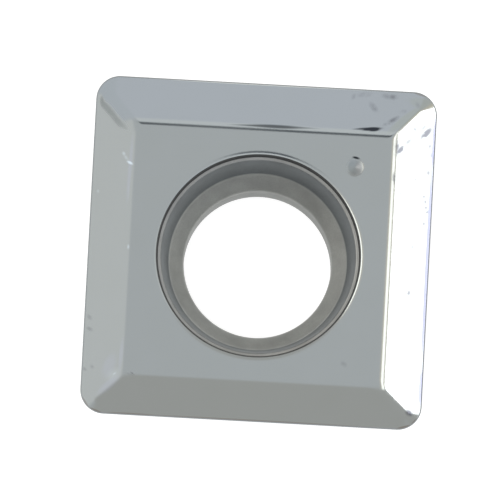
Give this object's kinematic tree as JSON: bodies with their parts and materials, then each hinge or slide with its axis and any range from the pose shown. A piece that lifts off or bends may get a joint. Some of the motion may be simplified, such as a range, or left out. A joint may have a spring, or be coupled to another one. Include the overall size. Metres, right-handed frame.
{
  "type": "carbide insert",
  "caption": "Square positive indexable cutting insert with a recessed polished rake and a countersunk screw hole.",
  "frame": {"origin": "centre of the seat face, on the screw hole's axis", "axes": "+Z along the screw hole, from the seat face to the cutting edges; +X and +Y square to the four cutting edges, with the index mark near the +X +Y corner"},
  "size_m": [0.0126, 0.0126, 0.0048],
  "materials": {
    "carbide": "ground and polished cemented carbide"
  },
  "bodies": {
    "root": {"insert": "carbide"}
  },
  "joints": []
}
